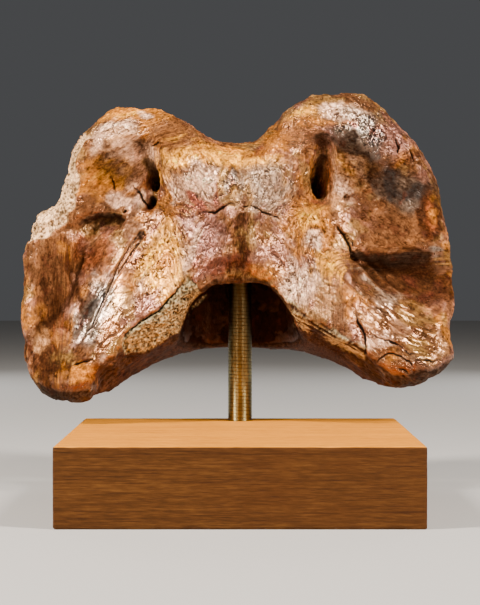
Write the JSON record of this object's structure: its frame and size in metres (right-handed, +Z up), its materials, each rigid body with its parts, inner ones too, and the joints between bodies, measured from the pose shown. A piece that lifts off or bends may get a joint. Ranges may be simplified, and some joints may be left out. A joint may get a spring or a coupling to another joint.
{
  "type": "bison atlas vertebra on a display stand",
  "caption": "Stained, glossy atlas vertebra of a large bison, held upright on a threaded brass rod over a square hardwood block.",
  "frame": {"origin": "middle of the wooden block's underside", "axes": "+Z up; -Y to the front, which the bone's dorsal side faces; +X to the viewer's right, along the bone's widest extent"},
  "size_m": [0.2122, 0.1917, 0.1962],
  "materials": {
    "stained_bone": "old bone stained in browns and oranges, polished to a lacquered gloss, with dull cream spongy bone where it is broken",
    "brass": "threaded, warm and slightly tarnished",
    "hardwood": "oiled, with a fine straight grain and eased edges"
  },
  "bodies": {
    "root": {"atlas": "stained_bone", "stand_rod": "brass", "stand_base": "hardwood"}
  },
  "joints": []
}
